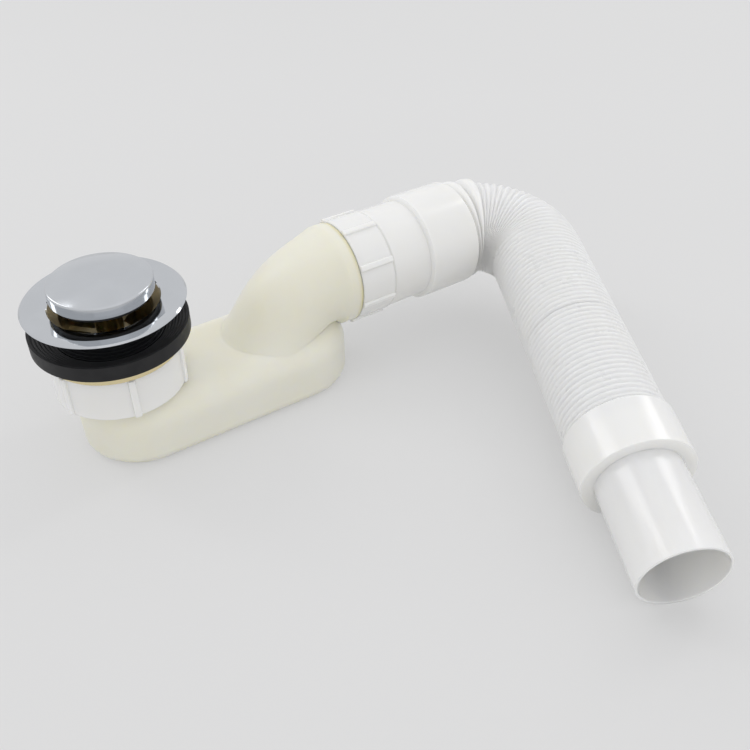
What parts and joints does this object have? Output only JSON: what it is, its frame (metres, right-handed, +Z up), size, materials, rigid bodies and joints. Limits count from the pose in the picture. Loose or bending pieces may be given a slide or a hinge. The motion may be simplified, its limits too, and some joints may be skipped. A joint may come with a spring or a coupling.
{
  "type": "low-profile flexible p-trap",
  "caption": "Flat bath trap with a raised chrome pop-up waste, union nuts, a rising elbow and a corrugated flexible hose that bends to a plain spigot.",
  "frame": {"origin": "on the floor, under the axis of the waste", "axes": "+Z up along the waste's axis, +X along the flat chamber to the outlet, hose turning towards -Y"},
  "size_m": [0.2735, 0.2567, 0.089],
  "materials": {
    "cream_plastic": "satin, milky",
    "white_plastic": "gloss",
    "white_hose": "satin",
    "chrome": "mirror",
    "brass": "turned",
    "black_rubber": "matt",
    "spring_steel": "drawn"
  },
  "bodies": {
    "trap": {"trap_body": "cream_plastic", "inlet_gasket": "black_rubber", "outlet_gasket": "black_rubber"},
    "waste": {"waste_body": "chrome", "cartridge": "brass", "return_spring": "spring_steel"},
    "plug": {"plug_cap": "chrome", "plug_seal": "black_rubber", "plug_stem": "brass"},
    "washer": {"tub_washer": "black_rubber"},
    "backnut": {"back_nut": "brass"},
    "inletnut": {"inlet_nut": "white_plastic"},
    "outletnut": {"outlet_nut": "white_plastic"},
    "hose_start": {"hose_inlet_cuff": "white_plastic"},
    "hose_arm": {"flexible_hose": "white_hose"},
    "hose_end": {"outlet_spigot": "white_plastic"}
  },
  "joints": [
    {"name": "waste_swivel", "type": "hinge", "parent": "trap", "child": "waste", "pos_m": [0, 0, 0.04], "axis": [0, 0, 1], "continuous": true},
    {"name": "plug_travel", "type": "slide", "parent": "waste", "child": "plug", "axis": [0, 0, 1], "range_m": [-0.0063, 0], "stiffness_N_per_m": 400, "springref_m": 0.005, "deforming": ["return_spring"]},
    {"name": "clamp_travel", "type": "slide", "parent": "waste", "child": "washer", "axis": [0, 0, 1], "range_m": [0, 0.0095]},
    {"name": "back_nut_turn", "type": "hinge", "parent": "washer", "child": "backnut", "pos_m": [0, 0, 0.0552], "axis": [0, 0, 1], "continuous": true},
    {"name": "inlet_nut_turn", "type": "hinge", "parent": "trap", "child": "inletnut", "pos_m": [0, 0, 0.0424], "axis": [0, 0, 1], "continuous": true},
    {"name": "outlet_nut_turn", "type": "hinge", "parent": "trap", "child": "outletnut", "pos_m": [0.1243, 0, 0.0485], "axis": [1, 0, 0], "continuous": true},
    {"name": "hose_swivel", "type": "hinge", "parent": "trap", "child": "hose_start", "pos_m": [0.1295, 0, 0.0485], "axis": [1, 0, 0], "continuous": true},
    {"name": "hose_bend", "type": "hinge", "parent": "hose_start", "child": "hose_arm", "pos_m": [0.1864, -0.02833, 0.04458], "axis": [0, 0.1372, -0.9905], "range_deg": [-50, 10], "deforming": ["flexible_hose"]},
    {"name": "hose_extend", "type": "slide", "parent": "hose_arm", "child": "hose_end", "axis": [-0.4035, -0.9063, -0.1255], "range_m": [-0.015, 0.06], "deforming": ["flexible_hose"]}
  ]
}
